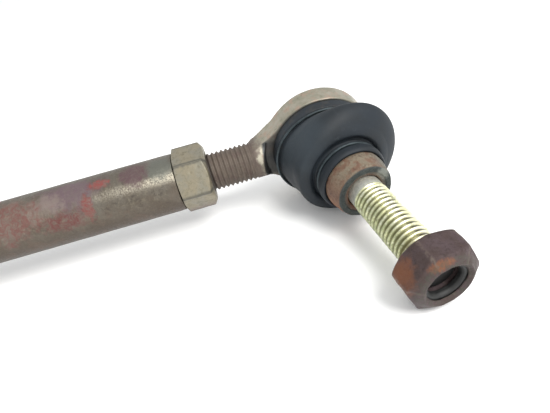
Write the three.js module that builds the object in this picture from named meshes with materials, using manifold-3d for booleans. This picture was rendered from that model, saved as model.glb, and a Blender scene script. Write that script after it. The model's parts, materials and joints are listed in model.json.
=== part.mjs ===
// Tie rod end with a threaded ball stud, a dust boot, a jam nut and a length of adjusting tube.
// Millimetres, +Z up. The rod runs along X with the tube towards -X, and the stud points towards -Y.
// The part lies on a surface, resting on its boot and on the lock nut.
import * as THREE from 'three';
import { mergeVertices } from 'three/addons/utils/BufferGeometryUtils.js';
import Module from 'manifold-3d';

const wasm = await Module();
wasm.setup();

// ---- Driving dimensions ----
const GAP = 0.3; // room left between touching pieces

const EYE_RADIUS = 16.1;
const EYE_BACK = -5.4; // measured along the stud from the ball centre
const EYE_SHOULDER = 1.4; // the boot's foot starts here
const NECK_RADIUS = 13.6; // the reduced front rim that carries the boot's foot
const NECK_FRONT = 5.6;
const BOSS_RADIUS = 12.6; // the short boss around the end cap
const BOSS_BACK = -9.4;
const SOCKET_RADIUS = 11.6; // bore that holds the bearing shells
const SOCKET_FRONT = 4.5;
const MOUTH_RADIUS = 8.3; // opening the stud swings in

const BALL_RADIUS = 7.5;
const SHELL_THICKNESS = SOCKET_RADIUS - BALL_RADIUS - 2 * GAP;

const SHANK_RADIUS = 6; // M12 x 1.5
const SHANK_PITCH = 1.5;
const SHANK_START = 20; // distances along the rod from the ball centre
const SHANK_END = 74;
const JAM_NUT_START = 36.8;
const JAM_NUT_HEIGHT = 10;
const JAM_NUT_FLATS = 18;
const TUBE_RADIUS = 9.15;
const TUBE_LENGTH = 90;
const TUBE_START = JAM_NUT_START + JAM_NUT_HEIGHT + GAP;
const TUBE_END = TUBE_START + TUBE_LENGTH;

const STUD_RADIUS = 5; // M10 x 1.5
const STUD_PITCH = 1.5;
const THREAD_DEPTH = 0.85;
const THREAD_CLEARANCE = 0.15; // room between a thread's crests and the nut round it
const BOOT_SEAT_RADIUS = 7;
const COLLAR_BACK = 22.5; // distances along the stud from the ball centre
const COLLAR_FRONT = 30.9;
const COLLAR_BACK_RADIUS = 9.7;
const COLLAR_FRONT_RADIUS = 8.3;
const LOCK_NUT_BACK = 56.5;
const LOCK_NUT_HEX_END = 64.4;
const LOCK_NUT_FRONT = 66.6;
const LOCK_NUT_FLATS = 17;
const INSERT_BACK = 62.4;
const INSERT_INNER = 4.25;
const INSERT_OUTER = 6.2;
const STUD_END = 61.8;

const BOOT_RADIUS = 17.6; // the widest part of the bellows
const BOOT_WIDEST = 11.5;
const BOOT_FOOT_RADIUS = 16.2;
const BOOT_LIP_RADIUS = 10.3;
const BOOT_LIP_FRONT = 22.2;

// The stud rests leaning away from the tube and a little upwards against the eye.
const STUD_LEAN = THREE.MathUtils.degToRad(7.4);
const STUD_SWING = THREE.MathUtils.degToRad(-4.5);
// The whole part is rolled about the rod until the boot and the lock nut touch the surface.
const LYING_ROLL = THREE.MathUtils.degToRad(12.9);
// A corner of each nut is turned this far from straight up.
const LOCK_NUT_TURN = THREE.MathUtils.degToRad(-22.4);
const JAM_NUT_TURN = THREE.MathUtils.degToRad(24.3);

const ROUND = 40; // facets round the large pieces
const SLIM = 24; // facets round the threads

// ---- Materials ----
const finish = (color, roughness, metalness) => new THREE.MeshStandardMaterial({ color, roughness, metalness });
const dullZinc = finish(0x8f8878, 0.5, 0.8);
const tubeSteel = finish(0x857a72, 0.55, 0.7);
const nutZinc = finish(0x8d8468, 0.45, 0.8);
const yellowZinc = finish(0xc9c48f, 0.35, 0.9);
const rustySteel = finish(0x6e5647, 0.85, 0.3);
const darkRust = finish(0x54423f, 0.8, 0.3);
const rubber = finish(0x23282f, 0.5, 0);
const springSteel = finish(0x4c5458, 0.45, 0.8);
const nylon = finish(0x4a4638, 0.6, 0);
const polymer = finish(0xe4dfd0, 0.5, 0);

// ---- Mesh helpers ----
function signedVolume(geometry) {
  const position = geometry.getAttribute('position');
  const index = geometry.getIndex().array;
  const [a, b, c] = [new THREE.Vector3(), new THREE.Vector3(), new THREE.Vector3()];
  let volume = 0;
  for (let i = 0; i < index.length; i += 3) {
    a.fromBufferAttribute(position, index[i]);
    b.fromBufferAttribute(position, index[i + 1]);
    c.fromBufferAttribute(position, index[i + 2]);
    volume += a.dot(b.cross(c)) / 6;
  }
  return volume;
}

// Shares vertices, drops the flat triangles a lathe leaves on its axis, and turns all faces outwards.
function closed(geometry) {
  geometry.deleteAttribute('normal');
  geometry.deleteAttribute('uv');
  const merged = mergeVertices(geometry, 1e-4);
  const index = merged.getIndex().array;
  const kept = [];
  for (let i = 0; i < index.length; i += 3) {
    const [a, b, c] = [index[i], index[i + 1], index[i + 2]];
    if (a !== b && b !== c && c !== a) kept.push(a, b, c);
  }
  merged.setIndex(kept);
  if (signedVolume(merged) < 0) merged.setIndex(kept.reverse());
  return merged;
}

function solid(geometry) {
  const vertProperties = new Float32Array(geometry.getAttribute('position').array);
  const triVerts = new Uint32Array(geometry.getIndex().array);
  return new wasm.Manifold(new wasm.Mesh({ numProp: 3, vertProperties, triVerts }));
}

function fromSolid(manifold) {
  const mesh = manifold.getMesh();
  const geometry = new THREE.BufferGeometry();
  geometry.setAttribute('position', new THREE.BufferAttribute(new Float32Array(mesh.vertProperties), 3));
  geometry.setIndex(Array.from(mesh.triVerts));
  return geometry;
}

// ---- Shape helpers ----
// A turned piece. Each profile point is [radius, distance along the stud], and the stud runs along -Y.
function turned(profile, segments = ROUND) {
  const points = profile.map(([radius, along]) => new THREE.Vector2(radius, along));
  return closed(new THREE.LatheGeometry(points, segments).rotateX(Math.PI));
}

// A turned piece whose profile goes round and meets its own start.
const turnedRing = (profile, segments) => turned([...profile, profile[0]], segments);

// The same pieces about the rod, where the distance runs towards -X.
const turnedOnRod = (profile, segments) => turned(profile, segments).rotateZ(-Math.PI / 2);
const ringOnRod = (profile, segments) => turnedRing(profile, segments).rotateZ(-Math.PI / 2);

// Points on an arc of a circle centred on the ball, from one distance along the stud to another.
function ballArc(radius, from, to, steps) {
  const start = Math.asin(from / radius);
  const end = Math.asin(to / radius);
  return Array.from({ length: steps + 1 }, (unused, i) => {
    const angle = start + ((end - start) * i) / steps;
    return [radius * Math.cos(angle), radius * Math.sin(angle)];
  });
}

// The outline of a thread as plain ridges, one for each pitch.
function threadRidges(radius, pitch, from, to) {
  const points = [];
  for (let along = from; along + pitch <= to; along += pitch) {
    points.push([radius, along + 0.25 * pitch], [radius - THREAD_DEPTH, along + 0.75 * pitch]);
  }
  return points;
}

// A round tube of wire bent into a closed hoop.
function wireHoop(hoopRadius, wireRadius, along) {
  const circle = Array.from({ length: 6 }, (unused, i) => {
    const angle = (i * Math.PI) / 3;
    return [hoopRadius + wireRadius * Math.cos(angle), along + wireRadius * Math.sin(angle)];
  });
  return turnedRing(circle);
}

// A hexagon bar along -Y with a corner turned from +Z towards +X.
function hexBar(flats, from, to, turn) {
  const corner = flats / Math.sqrt(3);
  const shape = new THREE.Shape();
  for (let i = 0; i < 6; i += 1) {
    const angle = turn + (i * Math.PI) / 3;
    const point = [corner * Math.sin(angle), corner * Math.cos(angle)];
    if (i === 0) shape.moveTo(...point);
    else shape.lineTo(...point);
  }
  const bar = new THREE.ExtrudeGeometry(shape, { depth: to - from, bevelEnabled: false });
  return closed(bar.rotateX(Math.PI / 2).translate(0, -from, 0));
}

// ---- The housing: eye, neck and threaded shank in one forging ----
function eyeOuter() {
  return turned([
    [0, BOSS_BACK],
    [BOSS_RADIUS - 0.6, BOSS_BACK],
    [BOSS_RADIUS, BOSS_BACK + 0.6],
    [BOSS_RADIUS + 0.3, EYE_BACK - 0.9],
    [EYE_RADIUS - 1.4, EYE_BACK - 0.2],
    [EYE_RADIUS - 0.4, EYE_BACK + 0.4],
    [EYE_RADIUS, EYE_BACK + 1.4],
    [EYE_RADIUS, EYE_SHOULDER - 0.6],
    [EYE_RADIUS - 0.6, EYE_SHOULDER],
    [NECK_RADIUS, EYE_SHOULDER],
    [NECK_RADIUS, NECK_FRONT - 0.5],
    [NECK_RADIUS - 0.5, NECK_FRONT],
    [0, NECK_FRONT],
  ]);
}

function socketCutter() {
  const lipRadius = SOCKET_RADIUS - 0.7;
  return turned([
    [0, BOSS_BACK - 1],
    [lipRadius, BOSS_BACK - 1],
    [lipRadius, BOSS_BACK + 0.4],
    [SOCKET_RADIUS, BOSS_BACK + 0.4],
    [SOCKET_RADIUS, SOCKET_FRONT],
    [MOUTH_RADIUS, SOCKET_FRONT],
    [MOUTH_RADIUS + 0.8, NECK_FRONT + 1],
    [0, NECK_FRONT + 1],
  ]);
}

function shankBar() {
  return turnedOnRod([
    [0, NECK_RADIUS + GAP],
    [SHANK_RADIUS - 0.1, NECK_RADIUS + GAP],
    [SHANK_RADIUS - 0.1, SHANK_START],
    ...threadRidges(SHANK_RADIUS, SHANK_PITCH, SHANK_START, JAM_NUT_START),
    [SHANK_RADIUS - 0.4, JAM_NUT_START],
    [SHANK_RADIUS - 0.4, SHANK_END - 1],
    [SHANK_RADIUS - 1.4, SHANK_END],
    [0, SHANK_END],
  ], SLIM);
}

// The flare that runs from the shank into the eye, seen from the stud's side.
function flareWeb() {
  const shape = new THREE.Shape();
  const reach = EYE_RADIUS * 0.94;
  shape.moveTo(0, reach);
  shape.lineTo(-EYE_RADIUS * 0.35, reach);
  shape.quadraticCurveTo(-EYE_RADIUS * 1.02, EYE_RADIUS * 0.62, -SHANK_START - 0.5, SHANK_RADIUS - 0.7);
  shape.lineTo(-SHANK_START - 0.5, -SHANK_RADIUS + 0.7);
  shape.quadraticCurveTo(-EYE_RADIUS * 1.02, -EYE_RADIUS * 0.62, -EYE_RADIUS * 0.35, -reach);
  shape.lineTo(0, -reach);
  const edge = 0.6; // the web stands back this much from the eye's two faces
  const depth = EYE_SHOULDER - EYE_BACK - 2 * edge;
  const web = new THREE.ExtrudeGeometry(shape, { depth, bevelEnabled: false, curveSegments: 8 });
  return closed(web.rotateX(Math.PI / 2).translate(0, -EYE_BACK - edge, 0));
}

// Clears the room of the boot's foot and leaves a sloping facet where the shank meets the eye.
function footCutter() {
  const top = SHANK_RADIUS + 1;
  const wall = BOOT_FOOT_RADIUS + 0.5;
  return turnedRing([[NECK_RADIUS, EYE_SHOULDER], [wall, EYE_SHOULDER], [wall + 6, top], [NECK_RADIUS, top]]);
}

function housing() {
  const forging = solid(eyeOuter()).add(solid(flareWeb())).add(solid(shankBar()));
  return fromSolid(forging.subtract(solid(footCutter())).subtract(solid(socketCutter())));
}

// ---- Inside the eye ----
function bearingShell(from, to, faceFrom, faceTo) {
  const inner = BALL_RADIUS + GAP;
  const outer = inner + SHELL_THICKNESS;
  return turnedRing([[outer, faceFrom], [outer, faceTo], ...ballArc(inner, to, from, 5)]);
}

function preloadWasher() {
  const [inside, outside] = [5.6, SOCKET_RADIUS - GAP];
  return turnedRing([[inside, -7.5], [outside, -6.95], [outside, -6.65], [inside, -7.2]]);
}

function endCap() {
  const rim = SOCKET_RADIUS - GAP;
  return turned([
    [0, -8.7],
    [rim - 4, -8.7],
    [rim, -8.7],
    [rim, -7.8],
    [rim - 4, -7.8],
    [0, -7.8],
  ]);
}

// ---- The ball stud and what sits on it ----
function ballStud() {
  const neckRadius = 4.2;
  const neckStart = Math.sqrt(BALL_RADIUS ** 2 - neckRadius ** 2);
  return turned([
    [0, -BALL_RADIUS],
    ...ballArc(BALL_RADIUS, -BALL_RADIUS * 0.98, neckStart, 9),
    [neckRadius, 11],
    [BOOT_SEAT_RADIUS, 15.5],
    [BOOT_SEAT_RADIUS, COLLAR_BACK - GAP],
    [STUD_RADIUS - 0.1, COLLAR_BACK - GAP],
    [STUD_RADIUS - 0.1, COLLAR_FRONT + 1.2],
    ...threadRidges(STUD_RADIUS, STUD_PITCH, COLLAR_FRONT + 1.2, LOCK_NUT_BACK),
    [STUD_RADIUS - 0.4, LOCK_NUT_BACK],
    [STUD_RADIUS - 0.4, STUD_END - 1],
    [STUD_RADIUS - 1.4, STUD_END],
    [0, STUD_END],
  ], SLIM);
}

function studCollar() {
  const bore = STUD_RADIUS + GAP - 0.1;
  return turnedRing([
    [bore, COLLAR_BACK],
    [COLLAR_BACK_RADIUS, COLLAR_BACK],
    [COLLAR_BACK_RADIUS, COLLAR_FRONT - 5],
    [COLLAR_FRONT_RADIUS + 0.5, COLLAR_FRONT - 0.8],
    [COLLAR_FRONT_RADIUS, COLLAR_FRONT],
    [bore, COLLAR_FRONT],
  ]);
}

// ---- The dust boot ----
// Stations on the boot lean with the stud more and more from the foot to the bellows, and the
// bellows bulges out on the side that the stud leans to.
function leanWithStud(geometry) {
  const leanStart = 6;
  const leanEnd = 13;
  const bulge = 2.2;
  const bulgeReach = 5.5;
  const towards = new THREE.Vector3(Math.sin(STUD_LEAN), 0, -Math.sin(STUD_SWING)).normalize();
  const position = geometry.getAttribute('position');
  const point = new THREE.Vector3();
  for (let i = 0; i < position.count; i += 1) {
    point.fromBufferAttribute(position, i);
    const along = -point.y;
    const lean = THREE.MathUtils.smoothstep(along, leanStart, leanEnd);
    const swell = Math.max(0, 1 - ((along - BOOT_WIDEST) / bulgeReach) ** 2);
    point.addScaledVector(towards, bulge * swell);
    point.applyEuler(new THREE.Euler(STUD_SWING * lean, 0, STUD_LEAN * lean));
    position.setXYZ(i, point.x, point.y, point.z);
  }
  return geometry;
}

function dustBoot() {
  const seat = NECK_RADIUS + GAP;
  const neck = BOOT_SEAT_RADIUS + GAP;
  const outside = [
    [BOOT_FOOT_RADIUS - 0.4, EYE_SHOULDER + GAP],
    [BOOT_FOOT_RADIUS, EYE_SHOULDER + 0.8],
    [BOOT_FOOT_RADIUS, 5.2],
    [15.1, 5.5],
    [15.1, 6.5],
    [15.9, 7.1],
    [17.0, 8.8],
    [BOOT_RADIUS, BOOT_WIDEST],
    [17.1, 13.9],
    [15.4, 16],
    [12.6, 17.6],
    [10.2, 18.3],
    [8.9, 18.9],
    [8.9, 19.7],
    [9.9, 20.2],
    [BOOT_LIP_RADIUS, 20.9],
    [BOOT_LIP_RADIUS, 21.6],
    [9.8, BOOT_LIP_FRONT],
  ];
  const inside = [
    [neck, BOOT_LIP_FRONT],
    [neck, 18.8],
    [9.6, 16.9],
    [12.4, 15.8],
    [14.6, 14.2],
    [15.6, BOOT_WIDEST],
    [15.0, 9.2],
    [14.0, 7.4],
    [seat, 6],
    [seat, EYE_SHOULDER + GAP],
  ];
  return leanWithStud(turnedRing([...outside, ...inside]));
}

// ---- Nuts ----
function lockNut() {
  const bar = hexBar(LOCK_NUT_FLATS, LOCK_NUT_BACK, LOCK_NUT_HEX_END + 1.5, LOCK_NUT_TURN);
  const corner = LOCK_NUT_FLATS / Math.sqrt(3);
  const flat = LOCK_NUT_FLATS / 2;
  const bore = STUD_RADIUS + THREAD_CLEARANCE;
  const envelope = turned([
    [0, LOCK_NUT_BACK],
    [flat - 0.2, LOCK_NUT_BACK],
    [corner + 0.3, LOCK_NUT_BACK + 1.3],
    [corner + 0.3, LOCK_NUT_HEX_END - 1.2],
    [flat - 0.3, LOCK_NUT_HEX_END + 0.3],
    [flat - 0.7, LOCK_NUT_FRONT - 1.1],
    [flat - 1.6, LOCK_NUT_FRONT - 0.2],
    [flat - 2, LOCK_NUT_FRONT],
    [0, LOCK_NUT_FRONT],
  ]);
  const crown = turned([
    [0, LOCK_NUT_HEX_END - 1],
    [flat - 0.3, LOCK_NUT_HEX_END - 1],
    [flat - 0.3, LOCK_NUT_HEX_END + 0.3],
    [flat - 0.7, LOCK_NUT_FRONT - 1.1],
    [flat - 1.6, LOCK_NUT_FRONT - 0.2],
    [flat - 2, LOCK_NUT_FRONT],
    [0, LOCK_NUT_FRONT],
  ]);
  const hollow = turned([
    [0, LOCK_NUT_BACK - 1],
    [bore + 1, LOCK_NUT_BACK - 1],
    [bore, LOCK_NUT_BACK + 0.4],
    [bore, INSERT_BACK - GAP],
    [INSERT_OUTER + GAP, INSERT_BACK - GAP],
    [INSERT_OUTER + GAP, LOCK_NUT_FRONT - 0.5],
    [INSERT_OUTER - 0.4, LOCK_NUT_FRONT + 1],
    [0, LOCK_NUT_FRONT + 1],
  ]);
  return fromSolid(solid(bar).intersect(solid(envelope)).add(solid(crown)).subtract(solid(hollow)));
}

function nylonInsert() {
  return turnedRing([
    [INSERT_INNER, INSERT_BACK],
    [INSERT_OUTER, INSERT_BACK],
    [INSERT_OUTER, LOCK_NUT_FRONT - 1],
    [INSERT_INNER + 0.5, LOCK_NUT_FRONT - 1],
    [INSERT_INNER, LOCK_NUT_FRONT - 1.6],
  ]);
}

function jamNut() {
  const end = JAM_NUT_START + JAM_NUT_HEIGHT;
  const corner = JAM_NUT_FLATS / Math.sqrt(3);
  const flat = JAM_NUT_FLATS / 2;
  const bore = SHANK_RADIUS + THREAD_CLEARANCE;
  const bar = hexBar(JAM_NUT_FLATS, JAM_NUT_START, end, JAM_NUT_TURN).rotateZ(-Math.PI / 2);
  const envelope = turnedOnRod([
    [0, JAM_NUT_START],
    [flat - 0.2, JAM_NUT_START],
    [corner + 0.3, JAM_NUT_START + 1],
    [corner + 0.3, end - 0.8],
    [flat, end],
    [0, end],
  ]);
  const hollow = turnedOnRod([
    [0, JAM_NUT_START - 1],
    [bore + 1, JAM_NUT_START - 1],
    [bore, JAM_NUT_START + 0.8],
    [bore, end - 0.8],
    [bore + 1, end + 1],
    [0, end + 1],
  ], SLIM);
  return fromSolid(solid(bar).intersect(solid(envelope)).subtract(solid(hollow)));
}

function rodTube() {
  const bore = SHANK_RADIUS + THREAD_CLEARANCE;
  return ringOnRod([
    [bore + 0.8, TUBE_START],
    [TUBE_RADIUS - 0.5, TUBE_START],
    [TUBE_RADIUS, TUBE_START + 0.5],
    [TUBE_RADIUS, TUBE_END - 0.5],
    [TUBE_RADIUS - 0.5, TUBE_END],
    [bore + 0.8, TUBE_END],
    [bore, TUBE_END - 0.8],
    [bore, TUBE_START + 0.8],
  ], ROUND);
}

// ---- Assembly ----
function part(name, geometry, material) {
  const mesh = new THREE.Mesh(geometry, material);
  mesh.name = name;
  return mesh;
}

const rod = new THREE.Group();
rod.add(
  part('rod_end_housing', housing(), dullZinc),
  part('bearing_shell_front', bearingShell(GAP / 2, SOCKET_FRONT - GAP, GAP / 2, SOCKET_FRONT - GAP), polymer),
  part('bearing_shell_back', bearingShell(-6.4, -GAP / 2, -6.4, -GAP / 2), polymer),
  part('preload_washer', preloadWasher(), springSteel),
  part('end_cap', endCap(), dullZinc),
  part('dust_boot', dustBoot(), rubber),
  part('boot_foot_ring', wireHoop(15.85, 0.45, 6), springSteel),
  part('jam_nut', jamNut(), nutZinc),
  part('rod_tube', rodTube(), tubeSteel),
);

const stud = new THREE.Group();
stud.rotation.set(STUD_SWING, 0, STUD_LEAN);
stud.add(
  part('ball_stud', ballStud(), yellowZinc),
  part('stud_collar', studCollar(), rustySteel),
  part('boot_neck_ring', wireHoop(9.7, 0.5, 19.3), springSteel),
  part('lock_nut', lockNut(), darkRust),
  part('nylon_insert', nylonInsert(), nylon),
);
rod.add(stud);
rod.rotation.x = LYING_ROLL;

// The part stands on z = 0, centred on the box round all its pieces.
const tieRodEnd = new THREE.Group();
tieRodEnd.add(rod);
tieRodEnd.updateMatrixWorld(true);
const box = new THREE.Box3().setFromObject(tieRodEnd, true);
const centre = box.getCenter(new THREE.Vector3());
rod.position.set(-centre.x, -centre.y, -box.min.z);

export default tieRodEnd;
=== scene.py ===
"""The looks of the tie rod end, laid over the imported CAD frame. Lengths in this script are millimetres."""
import json
import math

import bpy
import numpy as np
from mathutils import Matrix, Vector, noise


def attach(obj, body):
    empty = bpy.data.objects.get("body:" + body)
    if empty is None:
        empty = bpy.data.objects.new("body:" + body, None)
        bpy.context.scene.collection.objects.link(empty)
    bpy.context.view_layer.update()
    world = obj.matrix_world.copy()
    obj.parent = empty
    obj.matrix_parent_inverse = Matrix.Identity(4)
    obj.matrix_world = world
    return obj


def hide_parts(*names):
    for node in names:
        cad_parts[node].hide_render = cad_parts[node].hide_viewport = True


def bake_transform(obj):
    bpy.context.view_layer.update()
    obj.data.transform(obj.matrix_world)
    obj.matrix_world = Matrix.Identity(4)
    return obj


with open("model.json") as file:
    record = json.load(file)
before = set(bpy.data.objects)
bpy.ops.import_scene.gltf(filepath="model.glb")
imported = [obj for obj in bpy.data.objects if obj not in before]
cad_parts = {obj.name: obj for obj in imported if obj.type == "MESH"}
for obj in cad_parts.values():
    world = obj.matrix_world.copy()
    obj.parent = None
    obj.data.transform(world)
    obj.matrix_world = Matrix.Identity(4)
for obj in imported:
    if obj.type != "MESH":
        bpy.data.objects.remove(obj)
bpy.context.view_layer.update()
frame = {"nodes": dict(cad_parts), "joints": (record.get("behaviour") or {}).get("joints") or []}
JOINTS = {joint["name"]: joint for joint in frame["joints"]}

MM = 0.001
BALL = Vector(JOINTS["stud_swing"]["pos_m"])
LYING_ROLL = math.radians(12.9)  # the whole part is rolled this far about the rod
STUD_SWING = math.radians(-4.5)  # the stud's rest position in the eye
STUD_LEAN = math.radians(7.4)

# ---- Local frames, in millimetres from the ball's centre. The rod's tube runs to -X, the stud to -Y. ----
ROD = Matrix.Translation(BALL) @ Matrix.Rotation(LYING_ROLL, 4, "X") @ Matrix.Scale(MM, 4)
STUD = ROD @ Matrix.Rotation(STUD_SWING, 4, "X") @ Matrix.Rotation(STUD_LEAN, 4, "Z")
# The tube's and the jam nut's own frame, with their axis along -Y as the stud's is.
SHANK = ROD @ Matrix.Rotation(math.radians(-90), 4, "Z")


def span(node, place):
    """How far a CAD node reaches along -Y of a local frame, and its largest radius about that axis."""
    inverse = place.inverted()
    points = np.array([inverse @ v.co for v in frame["nodes"][node].data.vertices])
    radius = np.hypot(points[:, 0], points[:, 2]).max()
    return -points[:, 1].max(), -points[:, 1].min(), radius


TUBE_START, TUBE_END, TUBE_RADIUS = span("rod_tube", SHANK)
JAM_NUT_START, JAM_NUT_END, JAM_NUT_CORNER = span("jam_nut", SHANK)
SHANK_END = span("rod_end_housing", SHANK)[1]
BOSS_BACK, NECK_FRONT, _ = span("rod_end_housing", ROD)
CAP_BACK, CAP_FRONT, CAP_RADIUS = span("end_cap", ROD)
COLLAR_BACK, _, COLLAR_RADIUS = span("stud_collar", STUD)
NUT_BACK, _, NUT_CORNER = span("lock_nut", STUD)
INSERT_BACK, _, INSERT_RADIUS = span("nylon_insert", STUD)
STUD_END = span("ball_stud", STUD)[1]
FOOT_RING = span("boot_foot_ring", ROD)
NECK_RING = span("boot_neck_ring", STUD)

PITCH = 1.5
THREAD_COLUMNS = 72
SHANK_RADIUS = 6.0  # M12 x 1.5
SHANK_ROOT = 5.75  # the plain bar that the thread fades into
SHANK_THREAD_START = 21.8
SHANK_THREAD_DEPTH = 0.58  # shallow, because the grooves are full of dirt
STUD_RADIUS = 5.0  # M10 x 1.5
STUD_ROOT = 4.85
STUD_THREAD_START = 31.8
STUD_THREAD_DEPTH = 0.86
BALL_RADIUS = 7.5
BALL_NECK_RADIUS = 4.2
COLLAR_FACE = 29.5  # the collar's front, where the photo shows it
CROWN_FRONT = 65.4  # the lock nut's rounded front, where the photo shows it
JAM_NUT_TURN = math.radians(24.3)  # a corner of each nut, from straight up
LOCK_NUT_TURN = math.radians(-22.4)

# The forging, measured out from the eye's axis and along it from the ball's centre.
EYE_RADIUS = 16.1
EYE_BACK = -5.4
EYE_FACE = 1.4  # the flat front face, under the boot's foot
NECK_RADIUS = 13.6  # the raised rim inside the boot's foot
BOSS_RADIUS = 12.8  # the boss round the end cap
SOCKET_RADIUS = 11.6
SOCKET_FRONT = 4.5
MOUTH_RADIUS = 8.3
MOUTH_SLOPE = 0.35
RECESS_RADIUS = 18.6  # the room cut into the flare round the boot's foot
RECESS_SLOPE = 0.28
RECESS_TOP = 8.0
FLARE_SIDE = (0.573, 0.819)  # the direction that the flare's straight sides face, away from the rod
FLARE_INSET = 0.4  # the flare's sides lie this far inside the eye's edge
FLARE_END = 21.6  # along the rod
SHANK_BAR = (11.0, 22.5)  # the plain bar under the flare, along the rod

noise.seed_set(1)  # without this, the dents would start from the clock and differ each run


# ---- Mesh helpers ----
def add_piece(name, place, parts, material, body, node):
    """One object made of (points, faces) parts in a local frame. It rides on a body unless that is None."""
    points, faces, start = [], [], 0
    for part_points, part_faces in parts:
        part_points = np.asarray(part_points, float).reshape(-1, 3)
        points.append(part_points)
        faces += [tuple(index + start for index in face) for face in part_faces]
        start += len(part_points)
    matrix = np.array(place)
    world = np.concatenate(points) @ matrix[:3, :3].T + matrix[:3, 3]
    mesh = bpy.data.meshes.new(name)
    mesh.from_pydata(world.tolist(), [], faces)
    mesh.validate()
    mesh.shade_smooth()
    mesh.materials.append(material)
    piece = bpy.data.objects.new(name, mesh)
    bpy.context.scene.collection.objects.link(piece)
    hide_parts(node)
    if body:
        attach(piece, body)
    return piece


def grid_faces(rows, columns, loop_rows=False):
    """Quads over a grid whose columns wrap round."""
    faces = []
    for row in range(rows if loop_rows else rows - 1):
        for column in range(columns):
            beside = (column + 1) % columns
            low, high = row, (row + 1) % rows
            corners = (low, column), (low, beside), (high, beside), (high, column)
            faces.append(tuple(r * columns + c for r, c in corners))
    return faces


def soften(profile, loop=False, support=0.25, steps=4):
    """Rounds a profile's corners. A point is (radius, along) or (radius, along, fillet)."""
    points = [(Vector(p[:2]), p[2] if len(p) > 2 else 0.0) for p in profile]
    result = []
    for i, (corner, fillet) in enumerate(points):
        is_end = not loop and i in (0, len(points) - 1)
        if is_end or not fillet:
            result.append(corner)
            continue
        before = points[i - 1][0] - corner
        after = points[(i + 1) % len(points)][0] - corner
        cut = min(fillet, 0.45 * before.length, 0.45 * after.length)
        start, end = corner + before.normalized() * cut, corner + after.normalized() * cut
        if before.length > 3 * (cut + support):
            result.append(start + before.normalized() * support)
        for k in range(steps + 1):
            t = k / steps
            result.append(start * (1 - t) ** 2 + corner * 2 * t * (1 - t) + end * t ** 2)
        if after.length > 3 * (cut + support):
            result.append(end + after.normalized() * support)
    return [tuple(p) for p in result]


def subdivide(profile, longest):
    """Adds points so that no stretch of a profile is longer than this."""
    result = [profile[0]]
    for start, end in zip(profile, profile[1:]):
        pieces = max(1, math.ceil(math.dist(start, end) / longest))
        for k in range(1, pieces + 1):
            result.append(tuple(a + (b - a) * k / pieces for a, b in zip(start, end)))
    return result


def spline(points, steps=6):
    """A smooth curve through profile points."""
    ends = [np.array(points[0]), *map(np.array, points), np.array(points[-1])]
    result = []
    for a, b, c, d in zip(ends, ends[1:], ends[2:], ends[3:]):
        for k in range(steps):
            t = k / steps
            square = 2 * a - 5 * b + 4 * c - d
            cube = 3 * b - a - 3 * c + d
            curve = 2 * b + (c - a) * t + square * t * t + cube * t ** 3
            result.append(tuple(curve / 2))
    result.append(tuple(points[-1]))
    return result


def ring_points(profile, turns):
    """Rows of points round the -Y axis, one for each profile point, at the given turns from +Z to +X."""
    radius, along = np.array(profile, float).T
    x = np.outer(radius, np.sin(turns))
    z = np.outer(radius, np.cos(turns))
    y = np.repeat(-along[:, None], len(turns), axis=1)
    return np.stack([x, y, z], axis=-1)


def even_turns(segments):
    """Turns spread evenly round a circle."""
    return np.linspace(0, 2 * math.pi, segments, endpoint=False)


def turned(profile, segments=96, loop=False):
    """The surface that a profile sweeps as it turns about the -Y axis."""
    grid = ring_points(profile, even_turns(segments))
    return grid, grid_faces(len(profile), segments, loop_rows=loop)


def dented(part, amount, size, seed):
    """The same part with its surface pushed in and out a little, as a worn forging is."""
    points, faces = part
    flat = np.asarray(points, float).reshape(-1, 3)
    offset = Vector((seed * 7.3, seed * 3.1, seed * 5.7))
    moved = [p + np.array(noise.noise_vector(Vector(p) / size + offset)) * amount for p in flat]
    return np.array(moved), faces


def smooth_min(a, b, width):
    """The smaller of two values, rounded off where they meet; for two fields, a join with a fillet."""
    mix = np.clip(0.5 + 0.5 * (b - a) / width, 0, 1)
    return b + (a - b) * mix - width * mix * (1 - mix)


# ---- Threads ----
def thread(major, root, start, end, depth, runout=(1.5, 1.5)):
    """A right-hand thread's surface between two distances, fading into a plain bar at both ends."""
    shape = [(0, 0), (0.1, 0), (0.26, 0.5), (0.42, 1), (0.6, 1), (0.76, 0.5), (0.9, 0)]
    turns = even_turns(THREAD_COLUMNS)
    first = math.floor(start / PITCH) - 1
    count = math.ceil((end - start) / PITCH) + 3
    rows = []
    for k in range(first, first + count):
        for share, height in shape:
            along = np.clip((k + share - turns / (2 * math.pi)) * PITCH, start, end)
            fade = np.clip(np.minimum((along - start) / runout[0], (end - along) / runout[1]), 0, 1)
            fade = fade * fade * (3 - 2 * fade)
            radius = root + (major - depth * height - root) * fade
            rows.append(np.stack([radius * np.sin(turns), -along, radius * np.cos(turns)], axis=-1))
    return np.array(rows), wrap_thread(len(rows), len(shape))


def wrap_thread(rows, rows_per_turn):
    """Quads of a thread's grid, whose last column meets its first one a pitch further back."""
    columns = THREAD_COLUMNS
    faces = []
    for row in range(rows - 1):
        for column in range(columns):
            beside = (column + 1) % columns
            step = -rows_per_turn if beside == 0 else 0
            if row + step < 0:
                continue
            corners = (row, column), (row + step, beside), (row + 1 + step, beside), (row + 1, column)
            faces.append(tuple(r * columns + c for r, c in corners))
    return faces


def cap(radius, along, segments=72):
    """A flat round end."""
    ring = ring_points([(radius, along), (radius * 0.5, along)], even_turns(segments)).reshape(-1, 3)
    points = np.vstack([ring, [[0, -along, 0]]])
    faces = grid_faces(2, segments)
    inner = [(segments + i, segments + (i + 1) % segments, 2 * segments) for i in range(segments)]
    return points, faces + inner


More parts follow.
